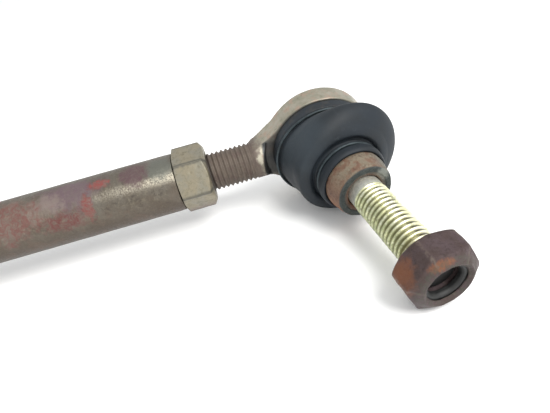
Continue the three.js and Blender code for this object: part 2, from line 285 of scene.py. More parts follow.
# ---- Hexagons ----
def hex_turns():
    """Turns round a hexagon, closer together at its corners."""
    from_corner = [0, 0.6, 1.2, 1.8, 2.6, 4.5, 8, 13, 19, 25, 30]
    half = [math.radians(angle) for angle in from_corner]
    turns = []
    for corner in range(6):
        base = corner * math.pi / 3
        turns += [base + angle for angle in half]
        turns += [base + math.pi / 3 - angle for angle in half[-2:0:-1]]
    return np.array(turns)


def hex_outline(turns, flats, rounding):
    """The radius of a hexagon with rounded corners; a corner is at turn 0."""
    from_corner = np.abs((turns + math.pi / 6) % (math.pi / 3) - math.pi / 6)
    flat = flats / 2 / np.cos(math.pi / 6 - from_corner)
    centre = (flats / 2 - rounding) / math.cos(math.pi / 6)
    inside = np.maximum(rounding ** 2 - (centre * np.sin(from_corner)) ** 2, 0)
    corner = centre * np.cos(from_corner) + np.sqrt(inside)
    return np.where(centre * np.sin(from_corner) < rounding * 0.5, np.minimum(corner, flat), flat)


def hex_turned(profile, flats, rounding, turn, edge=0.25):
    """A closed profile, turned and then cut to a hexagon."""
    turns = hex_turns()
    outline = hex_outline(turns, flats, rounding)
    grid = ring_points(profile, turns + turn)
    radius = np.hypot(grid[..., 0], grid[..., 2])
    cut = np.where(radius < flats / 2 - 1, radius, smooth_min(radius, outline[None, :], edge))
    grid[..., [0, 2]] *= (cut / radius)[..., None]
    return grid, grid_faces(len(profile), len(turns), loop_rows=True)


# ---- The forging, as the surface of a distance field ----
CELL_CORNERS = [(i, j, k) for i in (0, 1) for j in (0, 1) for k in (0, 1)]


def crossed_cells(inside):
    """The grid cells that have corners both inside and outside."""
    size = np.array(inside.shape) - 1
    count = np.zeros(size, int)
    for i, j, k in CELL_CORNERS:
        count += inside[i:size[0] + i, j:size[1] + j, k:size[2] + k]
    return np.argwhere((count > 0) & (count < len(CELL_CORNERS)))


def cell_points(value, cells):
    """The mean of the places where a field's zero surface crosses each cell's edges, in grid steps."""
    total = np.zeros((len(cells), 3))
    weight = np.zeros(len(cells))
    for near in np.array(CELL_CORNERS):
        for axis in np.flatnonzero(near == 0):
            far = near.copy()
            far[axis] = 1
            at_near, at_far = value[tuple((cells + near).T)], value[tuple((cells + far).T)]
            cross = (at_near < 0) != (at_far < 0)
            t = np.where(cross, at_near / np.where(cross, at_near - at_far, 1), 0)
            total += np.where(cross[:, None], near + (far - near) * t[:, None], 0)
            weight += cross
    return cells + total / weight[:, None]


def net_faces(inside, cells):
    """A quad through the four cells round each grid edge that the surface crosses."""
    number = np.full(np.array(inside.shape) - 1, -1)
    number[tuple(cells.T)] = np.arange(len(cells))
    unit = np.eye(3, dtype=int)
    faces = []
    for axis in range(3):
        u, v = unit[(axis + 1) % 3], unit[(axis + 2) % 3]
        ahead = tuple(slice(0, -1) if d == axis else slice(1, -1) for d in range(3))
        beyond = tuple(slice(1, None) if d == axis else slice(1, -1) for d in range(3))
        places = np.argwhere(inside[ahead] != inside[beyond]) + u + v
        quads = np.stack([number[tuple((places - d).T)] for d in (0 * u, u, u + v, v)], axis=1)
        outward = inside[tuple(places.T)]
        quads[~outward] = quads[~outward][:, ::-1]
        faces += quads.tolist()
    return faces


def onto_surface(field, points):
    """Moves points along a field's slope towards its zero surface."""
    small, farthest = 0.02, 0.3
    value = field(points)
    slope = np.stack([field(points + d) - field(points - d) for d in np.eye(3) * small], -1) / (2 * small)
    length = np.maximum((slope ** 2).sum(-1), 0.1)
    return points - np.clip(value / length, -farthest, farthest)[:, None] * slope


def surface_net(field, low, high, step):
    """Quads on a field's zero surface, one point for each grid cell that the surface crosses."""
    axes = [np.arange(a, b + step, step) for a, b in zip(low, high)]
    value = field(np.stack(np.meshgrid(*axes, indexing="ij"), axis=-1))
    inside = value < 0
    cells = crossed_cells(inside)
    points = np.array(low) + cell_points(value, cells) * step
    for _ in range(3):
        points = onto_surface(field, points)
    return points, net_faces(inside, cells)


def disc_field(radius, along, outer, back, front, rounding):
    """The distance to a round slab about the stud's axis with rounded edges."""
    middle, half = (back + front) / 2, (front - back) / 2
    over = np.stack([radius - outer + rounding, np.abs(along - middle) - half + rounding], -1)
    outside = np.sqrt((np.maximum(over, 0) ** 2).sum(-1))
    return outside + np.minimum(over.max(-1), 0) - rounding


def flare_field(x, z):
    """The distance in plan to the round eye and the straight-sided flare that runs from it to the shank."""
    side = FLARE_SIDE[0] * -x + FLARE_SIDE[1] * np.abs(z) - EYE_RADIUS + FLARE_INSET
    past_tangent = FLARE_SIDE[1] * x + FLARE_SIDE[0] * np.abs(z)
    flare = np.maximum.reduce([side, past_tangent, -x - FLARE_END])
    return smooth_min(flare, np.hypot(x, z) - EYE_RADIUS, 1.0)


def recess_field(radius, along):
    """The flat room round the boot's foot and the steep wall that ends it on the shank."""
    wall = (radius - RECESS_RADIUS - (along - EYE_FACE) * RECESS_SLOPE) * 0.96
    return np.maximum.reduce([wall, NECK_RADIUS - radius, EYE_FACE - along, along - RECESS_TOP])


def ball_room_field(radius, along):
    """The room in the eye for the ball and its shells, and the mouth that the stud swings in."""
    socket = np.maximum(radius - SOCKET_RADIUS, along - SOCKET_FRONT)
    opening = MOUTH_RADIUS + MOUTH_SLOPE * np.maximum(along - SOCKET_FRONT, 0)
    return np.minimum(socket, np.maximum(radius - opening, -along))


def forging_field(point):
    """The distance to the eye, its flare towards the rod, and the start of the shank."""
    x, along, z = point[..., 0], -point[..., 1], point[..., 2]
    radius = np.hypot(x, z)
    eye = disc_field(radius, along, EYE_RADIUS, EYE_BACK, EYE_FACE, 0.9)
    neck = disc_field(radius, along, NECK_RADIUS, -3.0, NECK_FRONT, 0.5)
    boss = disc_field(radius, along, BOSS_RADIUS, BOSS_BACK, 0.0, 0.8)
    web = np.maximum(flare_field(x, z), np.maximum(EYE_BACK - along, along - EYE_FACE))
    bar = np.hypot(along, z) - SHANK_RADIUS + 0.1
    shank = np.maximum.reduce([bar, x + SHANK_BAR[0], -x - SHANK_BAR[1]])
    flared_shank = smooth_min(smooth_min(web, eye, 1.0), shank, 1.8)
    body = smooth_min(smooth_min(eye, boss, 1.2), neck, 0.6)
    body = smooth_min(body, flared_shank, 1.0)
    body = -smooth_min(-body, recess_field(radius, along), 0.4)
    rolled_lip = disc_field(np.abs(radius - BOSS_RADIUS + 0.7), along, 1.3, BOSS_BACK, BOSS_BACK + 0.6, 0.3)
    return np.minimum(np.maximum(body, -ball_room_field(radius, along)), rolled_lip)


def forging():
    """The housing's forged part in the rod's frame, without its thread."""
    step = 0.33
    return surface_net(forging_field, (-23.5, -7.5, -17.5), (17.5, 10.5, 17.5), step)


# ---- Shader helpers ----
class Shader:
    """A material with a Principled shader and short calls to add and join nodes."""

    def __init__(self, name, place, **values):
        self.material = bpy.data.materials.new(name)
        self.material.use_nodes = True
        self.tree = self.material.node_tree
        self.bsdf = self.tree.nodes["Principled BSDF"]
        for socket, value in values.items():
            self.bsdf.inputs[socket.replace("_", " ")].default_value = value
        source = self.node("ShaderNodeTexCoord").outputs["Object"]
        mapping = self.node("ShaderNodeMapping", Vector=source)
        mapping.vector_type = "TEXTURE"
        location, rotation, _ = place.decompose()
        mapping.inputs["Location"].default_value = location
        mapping.inputs["Rotation"].default_value = rotation.to_euler()
        mapping.inputs["Scale"].default_value = (MM, MM, MM)
        self.at = mapping.outputs[0]

    def node(self, kind, **inputs):
        node = self.tree.nodes.new(kind)
        for name, value in inputs.items():
            self.put(node.inputs[name], value)
        return node

    def put(self, socket, value):
        if isinstance(value, bpy.types.NodeSocket):
            self.tree.links.new(value, socket)
        elif value is not None:
            socket.default_value = value

    def math(self, operation, a, b=None):
        node = self.node("ShaderNodeMath")
        node.operation = operation
        for socket, value in zip(node.inputs, (a, b)):
            self.put(socket, value)
        return node.outputs[0]

    def times(self, a, b):
        return self.math("MULTIPLY", a, b)

    def noise(self, size, detail=4, roughness=0.55, distortion=0.0, stretch=None):
        """Noise whose features are about this many millimetres across, from 0 to 1."""
        at = self.at
        if stretch:
            scaled = self.node("ShaderNodeVectorMath", Vector=at)
            scaled.operation = "MULTIPLY"
            scaled.inputs[1].default_value = stretch
            at = scaled.outputs[0]
        node = self.node("ShaderNodeTexNoise", Vector=at, Scale=1 / size, Detail=detail)
        node.inputs["Roughness"].default_value = roughness
        node.inputs["Distortion"].default_value = distortion
        return node.outputs["Fac"]

    def step(self, value, low, high):
        """0 below low and 1 above high; low may be the larger."""
        node = self.node("ShaderNodeMapRange", Value=value)
        node.interpolation_type = "SMOOTHSTEP"
        node.inputs["From Min"].default_value = low
        node.inputs["From Max"].default_value = high
        return node.outputs[0]

    def ramp(self, value, low, high, out_low, out_high):
        """A straight slope from out_low at low to out_high at high, level outside them."""
        node = self.node("ShaderNodeMapRange", Value=value)
        limits = {"From Min": low, "From Max": high, "To Min": out_low, "To Max": out_high}
        for name, number in limits.items():
            self.put(node.inputs[name], number)
        return node.outputs[0]

    def mix(self, amount, a, b):
        node = self.node("ShaderNodeMix")
        node.data_type = "RGBA"
        self.put(node.inputs[0], amount)
        self.put(node.inputs[6], a)
        self.put(node.inputs[7], b)
        return node.outputs[2]

    def tones(self, amount, low, high):
        """Two screen colours mixed by an amount from 0 to 1."""
        return self.mix(amount, rgb(low), rgb(high))

    def paint(self, color, code, amount, share=None):
        """A screen colour laid over a colour, by an amount from 0 to 1 times a share."""
        if share is not None:
            amount = self.times(amount, share)
        return self.mix(amount, color, rgb(code))

    def axes(self):
        node = self.node("ShaderNodeSeparateXYZ", Vector=self.at)
        return node.outputs[0], node.outputs[1], node.outputs[2]

    def radius(self):
        """The distance from the local Y axis."""
        x, _, z = self.axes()
        squares = self.math("ADD", self.times(x, x), self.times(z, z))
        return self.math("SQRT", squares)

    def turn(self):
        """The turn from +Z towards +X."""
        x, _, z = self.axes()
        return self.math("ARCTAN2", x, z)

    def spot(self, centre, reach, wobble=0.5, size=2.5, soft=0.35):
        """1 inside a patch with a ragged edge about a point, and 0 outside it."""
        moved = self.node("ShaderNodeVectorMath", Vector=self.at)
        moved.operation = "SUBTRACT"
        moved.inputs[1].default_value = centre
        scaled = self.node("ShaderNodeVectorMath", Vector=moved.outputs[0])
        scaled.operation = "DIVIDE"
        scaled.inputs[1].default_value = reach
        length = self.node("ShaderNodeVectorMath", Vector=scaled.outputs[0])
        length.operation = "LENGTH"
        ragged = self.times(self.math("SUBTRACT", self.noise(size, 5, 0.65), 0.5), wobble * 2)
        return self.step(self.math("ADD", length.outputs["Value"], ragged), 1 + soft / 2, 1 - soft / 2)

    def bump(self, height, distance, strength):
        node = self.node("ShaderNodeBump", Height=height)
        node.inputs["Distance"].default_value = distance * MM
        node.inputs["Strength"].default_value = strength
        return node.outputs[0]

    def finish(self, color, roughness=None, normal=None, metallic=None):
        self.put(self.bsdf.inputs["Base Color"], color)
        self.put(self.bsdf.inputs["Roughness"], roughness)
        self.put(self.bsdf.inputs["Metallic"], metallic)
        self.put(self.bsdf.inputs["Normal"], normal)
        return self.material


def rgb(code):
    """A linear colour from a six-digit screen colour."""
    values = [int(code[i:i + 2], 16) / 255 for i in (0, 2, 4)]
    linear = [v / 12.92 if v <= 0.04045 else ((v + 0.055) / 1.055) ** 2.4 for v in values]
    return (*linear, 1.0)


# ---- Materials ----
def tube_zinc(s, fine, grain):
    """Dull zinc with painted shade underneath and a speckled band of painted highlight along the side that
    faces the light.
    """
    clouds = s.noise(6, 5, 0.6)
    x, y, z = s.axes()
    color = s.tones(s.step(clouds, 0.35, 0.65), "655f56", "595147")
    color = s.paint(color, "756e5f", s.step(grain, 0.5, 0.66), 0.55)
    color = s.paint(color, "47413b", s.step(s.noise(1.9, 6, 0.75, 0.8), 0.54, 0.66), 0.7)
    # Painted shade: darker brown towards the underside.
    color = s.paint(color, "4e443c", s.step(z, 5.0, -3.0), 0.75)
    stain = s.times(s.step(s.noise(5, 5, 0.65), 0.52, 0.62), s.step(z, 6.0, 1.0))
    color = s.paint(color, "605248", stain, 0.5)
    # Painted highlight: a narrow, speckled bright band along the side that faces the light.
    painted_highlight = s.times(s.step(x, 3.6, 5.2), s.step(x, 7.2, 5.8))
    painted_highlight = s.times(s.times(painted_highlight, s.step(z, 2.0, 5.0)), s.step(y, -82.0, -48.0))
    color = s.paint(color, "b9b2a0", painted_highlight, s.ramp(fine, 0.36, 0.64, 0.0, 0.9))
    return s.paint(color, "666a63", s.spot((2.0, -51.0, 9.2), (4.0, 4.5, 4.0), 0.8, 2.0, 0.9), 0.6)


def tube_paint(s, color):
    """Lays flaking maroon and red paint over a colour, and returns where it lies too."""
    flakes = s.step(s.noise(2.6, 7, 0.78, 1.2), 0.38, 0.6)
    worn = s.ramp(flakes, 0, 1, 0.2, 0.85)
    washed = s.spot((2.2, -78.5, 9.0), (5.4, 9.5, 5.0), 1.0, 3.4, 0.8)
    color = s.paint(color, "58454c", washed, s.ramp(flakes, 0, 1, 0.6, 0.9))
    maroon = s.spot((1.6, -58.5, 9.3), (4.3, 4.2, 4.0), 0.9, 2.2, 0.7)
    color = s.paint(color, "4a3337", maroon, s.ramp(flakes, 0, 1, 0.65, 0.95))
    pale = s.spot((4.4, -86.0, 8.2), (3.8, 5.4, 3.6), 1.3, 1.8, 0.9)
    color = s.paint(color, "796d63", pale, 0.5)
    far = s.spot((5.0, -97.0, 7.0), (6.6, 9.0, 6.0), 1.2, 2.8, 0.8)
    color = s.paint(color, "613832", far, worn)
    end = s.spot((2.0, -118.0, 4.0), (12.0, 12.0, 10.0), 1.0, 4.0)
    color = s.paint(color, "583c38", end, s.times(worn, 0.7))
    strokes = s.spot((1.9, -69.2, 9.2), (1.7, 3.4, 1.3), 1.0, 1.4, 0.7)
    drip = s.spot((7.0, -73.6, 5.8), (3.6, 1.7, 4.4), 1.0, 1.3, 0.7)
    low = s.spot((8.3, -81.0, 4.0), (2.4, 7.0, 2.6), 1.2, 1.8, 0.9)
    red = s.math("MAXIMUM", strokes, s.math("MAXIMUM", drip, low))
    tone = s.tones(s.math("MAXIMUM", strokes, s.times(drip, 0.6)), "582b27", "753630")
    color = s.mix(s.times(red, s.ramp(flakes, 0, 1, 0.3, 0.95)), color, tone)
    return color, s.math("MAXIMUM", s.math("MAXIMUM", maroon, washed), s.math("MAXIMUM", red, far))


def tube_material():
    """Dull speckled zinc with red and maroon paint left on it."""
    s = Shader("tube_steel", SHANK)
    fine = s.noise(0.5, 4, 0.7)
    grain = s.noise(1.3, 6, 0.72, 0.5)
    color, paint = tube_paint(s, tube_zinc(s, fine, grain))
    roughness = s.ramp(s.math("ADD", fine, s.times(paint, 0.4)), 0.3, 1.0, 0.36, 0.62)
    metallic = s.ramp(paint, 0, 1, 0.7, 0.15)
    height = s.math("ADD", s.times(fine, 0.5), grain)
    return s.finish(color, roughness, s.bump(height, 0.2, 0.75), metallic)


def hex_edges(s, turn, wide, narrow):
    """1 along the edges between a hexagon's flats. The turn is that of one corner."""
    sixths = s.times(s.math("SUBTRACT", s.turn(), turn), 3 / math.pi)
    from_corner = s.math("ABSOLUTE", s.math("SUBTRACT", sixths, s.math("ROUND", sixths)))
    ragged = s.times(s.math("SUBTRACT", s.noise(0.9, 4), 0.5), wide)
    return s.step(s.math("ADD", from_corner, ragged), wide, narrow)


def jam_nut_material():
    """Khaki zinc that has gone dark along its edges, with pinkish painted shade underneath."""
    s = Shader("nut_zinc", SHANK, Metallic=0.7)
    clouds = s.noise(4.5, 5, 0.6)
    mottle = s.noise(1.2, 6, 0.7, 0.5)
    fine = s.noise(0.4, 3, 0.7)
    color = s.tones(s.step(clouds, 0.36, 0.62), "827e71", "88806d")
    color = s.paint(color, "696452", s.step(mottle, 0.5, 0.64), 0.6)
    color = s.paint(color, "989382", s.step(s.noise(2.2, 5, 0.6, 0.4), 0.6, 0.7), 0.5)
    _, _, z = s.axes()
    # Painted shade: darker and pinker towards the underside.
    color = s.paint(color, "756663", s.step(z, -4, -9), 0.7)
    edges = hex_edges(s, JAM_NUT_TURN, 0.085, 0.02)
    color = s.paint(color, "504f49", edges, 0.75)
    roughness = s.ramp(mottle, 0.3, 0.7, 0.36, 0.56)
    height = s.math("ADD", s.times(fine, 0.4), mottle)
    return s.finish(color, roughness, s.bump(height, 0.12, 0.6))


def housing_material():
    """Pale khaki zinc on the eye; grey-brown rust on the thread; painted shade round the boot's foot and
    next to the jam nut, and a painted highlight at the neck.
    """
    s = Shader("dull_zinc", ROD)
    x, y, _ = s.axes()
    clouds = s.noise(5, 5, 0.6)
    mottle = s.noise(1.3, 6, 0.7, 0.4)
    fine = s.noise(0.45, 3, 0.7)
    zinc = s.tones(s.step(clouds, 0.35, 0.65), "a09a8c", "8a8777")
    zinc = s.paint(zinc, "a08c7c", s.step(s.noise(3.0, 5, 0.65), 0.5, 0.6), 0.8)
    zinc = s.paint(zinc, "6f6c5b", s.step(mottle, 0.56, 0.68), 0.5)
    zinc = s.paint(zinc, "8b9078", s.step(s.noise(4.2, 4, 0.6, 0.5), 0.6, 0.7), 0.5)
    rust = s.tones(s.step(mottle, 0.35, 0.65), "544a42", "60554b")
    rust = s.paint(rust, "50413d", s.step(s.noise(2.6, 5, 0.65), 0.5, 0.62), 0.6)
    rust = s.paint(rust, "6f675c", s.step(fine, 0.55, 0.7), 0.4)
    # Painted shade and grime: darker on the thread in the corner next to the jam nut's face.
    shade_and_grime_by_nut = s.times(s.step(x, 1.6 - JAM_NUT_START, 0.2 - JAM_NUT_START), 0.75)
    rust = s.paint(rust, "37322e", shade_and_grime_by_nut)
    ragged = s.times(s.math("SUBTRACT", s.noise(2.5, 5, 0.65), 0.5), 6)
    rusty = s.step(s.math("ADD", x, ragged), -18.5, -21.5)
    color = s.mix(rusty, zinc, rust)
    radius = s.radius()
    # Painted shade with grime and scratches: the flat face round the boot's foot and the wall of its recess,
    # darkened as lying in shade.
    shaded_recess = s.times(s.step(radius, 20.4, 19.6), s.step(y, -0.9, -1.5))
    scratches = s.step(s.noise(1.4, 6, 0.75, 1.0, stretch=(0.4, 1, 1)), 0.58, 0.7)
    grime = s.tones(s.times(scratches, 0.6), "2c2d2d", "60605c")
    # Painted highlight on the smooth neck between the thread and the recess.
    neck_highlight = s.spot((-20.7, -4.8, 3.6), (0.9, 1.5, 1.5), 1.1, 0.7, 0.9)
    color = s.paint(color, "c4bfac", neck_highlight, 0.55)
    color = s.mix(shaded_recess, color, grime)
    metallic = s.ramp(s.math("MAXIMUM", rusty, shaded_recess), 0, 1, 0.75, 0.25)
    roughness = s.math("ADD", s.ramp(rusty, 0, 1, 0.4, 0.62), s.ramp(mottle, 0.3, 0.7, -0.06, 0.1))
    height = s.math("ADD", s.times(fine, 0.4), mottle)
    return s.finish(color, roughness, s.bump(height, 0.14, 0.6), metallic)


def boot_material():
    """Blue-black rubber with a dull skin, a painted sheen on one side, and faint scuffs."""
    s = Shader("boot_rubber", ROD, Specular_IOR_Level=0.32)
    clouds = s.noise(7, 4, 0.55)
    fine = s.noise(0.35, 4, 0.7)
    scuff = s.noise(1.6, 6, 0.75, 1.2, stretch=(1, 0.35, 1))
    color = s.tones(s.step(clouds, 0.35, 0.68), "12181d", "181f26")
    # Painted highlight: a broad, soft lighter patch high on the bellows.
    painted_sheen = s.spot((-11.0, -12.0, 12.5), (9.0, 7.0, 10.0), 0.35, 5.0, 1.3)
    color = s.paint(color, "2c343a", painted_sheen, 0.8)
    dust = s.times(s.step(scuff, 0.58, 0.72), 0.3)
    color = s.paint(color, "3c4347", dust)
    _, y, _ = s.axes()
    foot = s.step(y, -6.6, -5.2)
    worn = s.times(foot, s.step(s.noise(2.2, 5, 0.7), 0.46, 0.66))
    color = s.paint(color, "322e2a", worn, 0.5)
    scrape = s.spot((-16.0, -9.0, 3.5), (1.3, 1.6, 3.2), 0.8, 1.0, 0.8)
    color = s.paint(color, "74797c", scrape, 0.5)
    roughness = s.ramp(s.math("ADD", s.times(fine, 0.4), clouds), 0.4, 1.0, 0.52, 0.7)
    height = s.math("ADD", s.times(fine, 0.5), s.times(clouds, 0.6))
    return s.finish(color, roughness, s.bump(height, 0.08, 0.5))


def yellow_zinc_material():
    """Lemon-yellow passivated zinc, bright on the crests, greenish with painted shade on the left, and with
    painted shade in the valleys, darkest on the right.
    """
    s = Shader("yellow_zinc", STUD, Metallic=0.75)
    radius = s.radius()
    crest = s.step(radius, STUD_RADIUS - 0.7, STUD_RADIUS - 0.15)
    clouds = s.noise(3.0, 5, 0.65)
    mottle = s.noise(0.9, 6, 0.72, 0.5)
    x, y, _ = s.axes()
    bright = s.tones(s.step(clouds, 0.38, 0.62), "e8e6b6", "ecead6")
    bright = s.paint(bright, "b3b984", s.step(s.noise(1.8, 5), 0.54, 0.66), 0.6)
    # Greenish tint and painted shade: the crests darker and greener on the left side.
    olive_and_shade = s.times(s.step(x, -0.5, -4.2), s.ramp(mottle, 0.35, 0.6, 0.45, 0.95))
    bright = s.paint(bright, "8d9470", olive_and_shade)
    # Painted shade in the thread's valleys, darkest on the right side.
    valley_shade = s.tones(s.step(x, -2.0, 2.0), "6d6c4c", "37352a")
    color = s.mix(crest, valley_shade, bright)
    grime = s.times(s.step(s.noise(1.7, 6, 0.75, 0.6), 0.56, 0.64), 0.6)
    color = s.paint(color, "5d5840", grime)
    root = s.times(s.step(y, -STUD_THREAD_START - 0.4, -STUD_THREAD_START + 0.4), 0.9)
    color = s.mix(root, color, s.tones(s.step(mottle, 0.4, 0.6), "c9ccc4", "e4e4dc"))
    near_nut = s.times(s.step(y, 4.5 - NUT_BACK, 0.5 - NUT_BACK), s.step(mottle, 0.3, 0.6))
    color = s.paint(color, "7d6436", near_nut, 0.6)
    # Painted shade and grime: the stud's end, deep in the nut's hole, dark.
    color = s.paint(color, "2b2a2a", s.step(y, 3.0 - STUD_END, 1.5 - STUD_END))
    roughness = s.ramp(mottle, 0.3, 0.75, 0.28, 0.48)
    return s.finish(color, roughness, s.bump(mottle, 0.1, 0.6))


def collar_material():
    """Rust-brown sides, orange low down and grey on the right, with a dark greenish end face: grime with
    painted shade over it, and a painted highlight.
    """
    s = Shader("rusty_collar", STUD)
    x, y, z = s.axes()
    clouds = s.noise(2.6, 5, 0.65)
    mottle = s.noise(0.9, 6, 0.72, 0.5)
    fine = s.noise(0.3, 4, 0.7)
    side = s.tones(s.step(clouds, 0.38, 0.6), "624838", "6d5543")
    side = s.paint(side, "6c6252", s.step(z, 2.0, 8.0), s.step(clouds, 0.4, 0.6))
    side = s.paint(side, "565850", s.step(x, 2.5, 8.0), 0.85)
    side = s.paint(side, "7a4c30", s.step(z, 1.5, -5.0), s.step(x, 2.0, -3.0))
    side = s.paint(side, "453329", s.step(mottle, 0.5, 0.64), 0.65)
    side = s.paint(side, "86796a", s.step(s.noise(1.3, 6, 0.72), 0.58, 0.68), 0.4)
    # The end face: greasy dark metal, painted darker still as shade.
    face = s.tones(s.step(mottle, 0.4, 0.62), "2b302f", "414644")
    # Painted highlight on the upper right of the end face.
    face_highlight = s.spot((5.2, -COLLAR_FACE, 4.2), (1.8, 2.0, 2.2), 0.8, 0.9, 0.9)
    face = s.paint(face, "84867f", face_highlight, 0.7)
    on_face = s.step(y, 0.6 - COLLAR_FACE, 0.15 - COLLAR_FACE)
    color = s.mix(on_face, side, face)
    metallic = s.ramp(on_face, 0, 1, 0.1, 0.4)
    roughness = s.ramp(mottle, 0.3, 0.7, 0.55, 0.8)
    height = s.math("ADD", s.times(fine, 0.5), mottle)
    return s.finish(color, roughness, s.bump(height, 0.3, 0.8), metallic)


def rusty_nut_material():
    """Dark purple-brown rust with orange-brown patches and worn, lighter edges."""
    s = Shader("rusty_nut", STUD)
    radius = s.radius()
    _, y, _ = s.axes()
    clouds = s.noise(4.5, 5, 0.6)
    mottle = s.noise(1.0, 6, 0.72, 0.6)
    fine = s.noise(0.28, 4, 0.7)
    color = s.tones(s.step(clouds, 0.36, 0.64), "3a2a27", "433436")
    color = s.paint(color, "2a1e1a", s.step(mottle, 0.52, 0.66), 0.6)
    color = s.paint(color, "533f36", s.step(s.noise(2.2, 5, 0.7, 0.4), 0.6, 0.7), 0.5)
    patch = s.spot((-7.6, -60.0, 2.0), (3.6, 3.4, 3.8), 0.9, 2.0, 0.9)
    color = s.paint(color, "6b3d1d", patch, 0.75)
    streak = s.spot((-2.4, -64.5, 7.2), (3.0, 0.8, 1.3), 1.0, 1.0, 0.9)
    color = s.paint(color, "6c4024", streak, 0.85)
    at_stud = s.times(s.step(y, -1.2 - NUT_BACK, -0.2 - NUT_BACK), s.step(radius, 8.2, 6.0))
    color = s.paint(color, "825621", at_stud, 0.8)
    edges = hex_edges(s, LOCK_NUT_TURN, 0.07, 0.01)
    worn = s.times(edges, s.step(mottle, 0.42, 0.6))
    color = s.paint(color, "6d6258", worn, 0.5)
    rim = s.times(s.step(y, 1.6 - CROWN_FRONT, 0.8 - CROWN_FRONT), s.step(mottle, 0.42, 0.6))
    color = s.paint(color, "414137", rim, 0.6)
    roughness = s.ramp(mottle, 0.3, 0.7, 0.45, 0.72)
    height = s.math("ADD", s.times(fine, 0.5), mottle)
    return s.finish(color, roughness, s.bump(height, 0.28, 0.75), 0.25)


def plain_material(name, dark, light, roughness, metallic=0.0, size=1.5, place=ROD):
    """A small or inner piece's finish: two tones in clouds, with fine grain."""
    s = Shader(name, place, Metallic=metallic)
    clouds = s.noise(size, 5, 0.65)
    fine = s.noise(size / 5, 3, 0.7)
    color = s.tones(s.step(clouds, 0.35, 0.65), dark, light)
    height = s.math("ADD", s.times(fine, 0.5), clouds)
    varied = s.ramp(clouds, 0.3, 0.7, roughness - 0.08, roughness + 0.1)
    return s.finish(color, varied, s.bump(height, 0.06, 0.5))


# ---- Pieces on the rod ----
def build_housing(material):
    start = SHANK_THREAD_START
    shank = thread(SHANK_RADIUS, SHANK_ROOT, start, SHANK_END, SHANK_THREAD_DEPTH, (2.2, 1.2))
    root = turned([(SHANK_ROOT - 0.95, start - 0.4), (SHANK_ROOT, start - 0.1), (SHANK_ROOT, start)])
    end = cap(SHANK_RADIUS - 0.35, SHANK_END)
    rod_to_shank = np.array(SHANK.inverted() @ ROD)
    points, faces = forging()
    points = points @ rod_to_shank[:3, :3].T + rod_to_shank[:3, 3]
    parts = [dented((points, faces), 0.06, 3.0, 1), shank, root, end]
    add_piece("forged_housing", SHANK, parts, material, "housing", "rod_end_housing")


def build_jam_nut(material):
    flat = JAM_NUT_CORNER * math.cos(math.pi / 6)
    start, end = JAM_NUT_START, JAM_NUT_END
    outside = [
        (6.2, start + 0.9),
        (7.0, start, 0.2),
        (flat - 0.5, start, 0.3),
        (JAM_NUT_CORNER + 0.4, start + 1.5),
        (JAM_NUT_CORNER + 0.4, end - 0.5),
        (flat, end, 0.1),
        (7.0, end, 0.2),
        (6.2, end - 0.9),
    ]
    profile = subdivide(soften(outside), 0.3)
    profile += subdivide([(6.2, end - 1.2), (6.2, start + 1.2)], 2)
    shape = dented(hex_turned(profile, flat * 2, 0.45, JAM_NUT_TURN), 0.04, 2.5, 2)
    add_piece("jam_nut_body", SHANK, [shape], material, "jam_nut", "jam_nut")


def build_tube(material):
    bore = SHANK_RADIUS + 0.15
    wall = bore + 0.1
    thread_back = TUBE_END - 26
    outside = soften([
        (bore + 0.9, TUBE_START - 0.1),
        (TUBE_RADIUS - 0.1, TUBE_START - 0.1, 0.2),
        (TUBE_RADIUS, TUBE_START + 2),
        (TUBE_RADIUS, TUBE_END - 1, 0.4),
        (TUBE_RADIUS - 0.35, TUBE_END, 0.25),
        (bore + 0.9, TUBE_END, 0.2),
        (wall, TUBE_END - 0.9),
    ])
    inner = thread(bore + 0.75, wall, thread_back, TUBE_END - 0.9, 0.75)
    plain = subdivide([(wall, thread_back), (wall, TUBE_START + 0.9), (bore + 0.9, TUBE_START - 0.1)], 4)
    parts = [dented(turned(subdivide(outside, 1.5), 120), 0.05, 4.0, 3), inner, turned(plain)]
    add_piece("adjusting_tube", SHANK, parts, material, "tube", "rod_tube")


def build_end_cap(material):
    profile = soften([
        (0.01, CAP_BACK + 0.3),
        (2.2, CAP_BACK + 0.25, 0.5),
        (3.2, CAP_BACK, 0.5),
        (CAP_RADIUS - 1.2, CAP_BACK, 0.6),
        (CAP_RADIUS, CAP_BACK + 0.3, 0.2),
        (CAP_RADIUS, CAP_FRONT, 0.2),
        (0.01, CAP_FRONT),
    ])
    add_piece("pressed_end_cap", ROD, [turned(profile)], material, "housing", "end_cap")


def build_wire_ring(name, place, reach, material, body, node):
    """A ring of round wire that fills the room of the CAD ring, given as its span."""
    back, front, outer = reach
    wire = (front - back) / 2
    middle, hoop = (back + front) / 2, outer - wire
    section = even_turns(14)
    profile = [(hoop + wire * math.cos(a), middle + wire * math.sin(a)) for a in section]
    add_piece(name, place, [turned(profile, 120, loop=True)], material, body, node)


# ---- Dust boot ----
BOOT_SEAM = 11.5  # the widest part of the bellows, where its two halves meet
BOOT_LEAN = (6.0, 13.0)  # the bellows turns from the eye's axis to the stud's between these distances
BOOT_BULGE = 2.6  # how far the widest part is pushed sideways, and towards where
BOOT_BULGE_TOWARDS = Vector((1, 0, 0.22)).normalized()
BOOT_BULGE_REACH = 5.5


def boot_place(along):
    """The turn and the sideways shift of the boot at this distance from the ball, as 4x4 in millimetres."""
    share = min(max((along - BOOT_LEAN[0]) / (BOOT_LEAN[1] - BOOT_LEAN[0]), 0), 1)
    share = share * share * (3 - 2 * share)
    swell = max(0.0, 1 - ((along - BOOT_SEAM) / BOOT_BULGE_REACH) ** 2)
    turn = Matrix.Rotation(STUD_SWING * share, 4, "X") @ Matrix.Rotation(STUD_LEAN * share, 4, "Z")
    return turn @ Matrix.Translation(BOOT_BULGE_TOWARDS * BOOT_BULGE * swell)


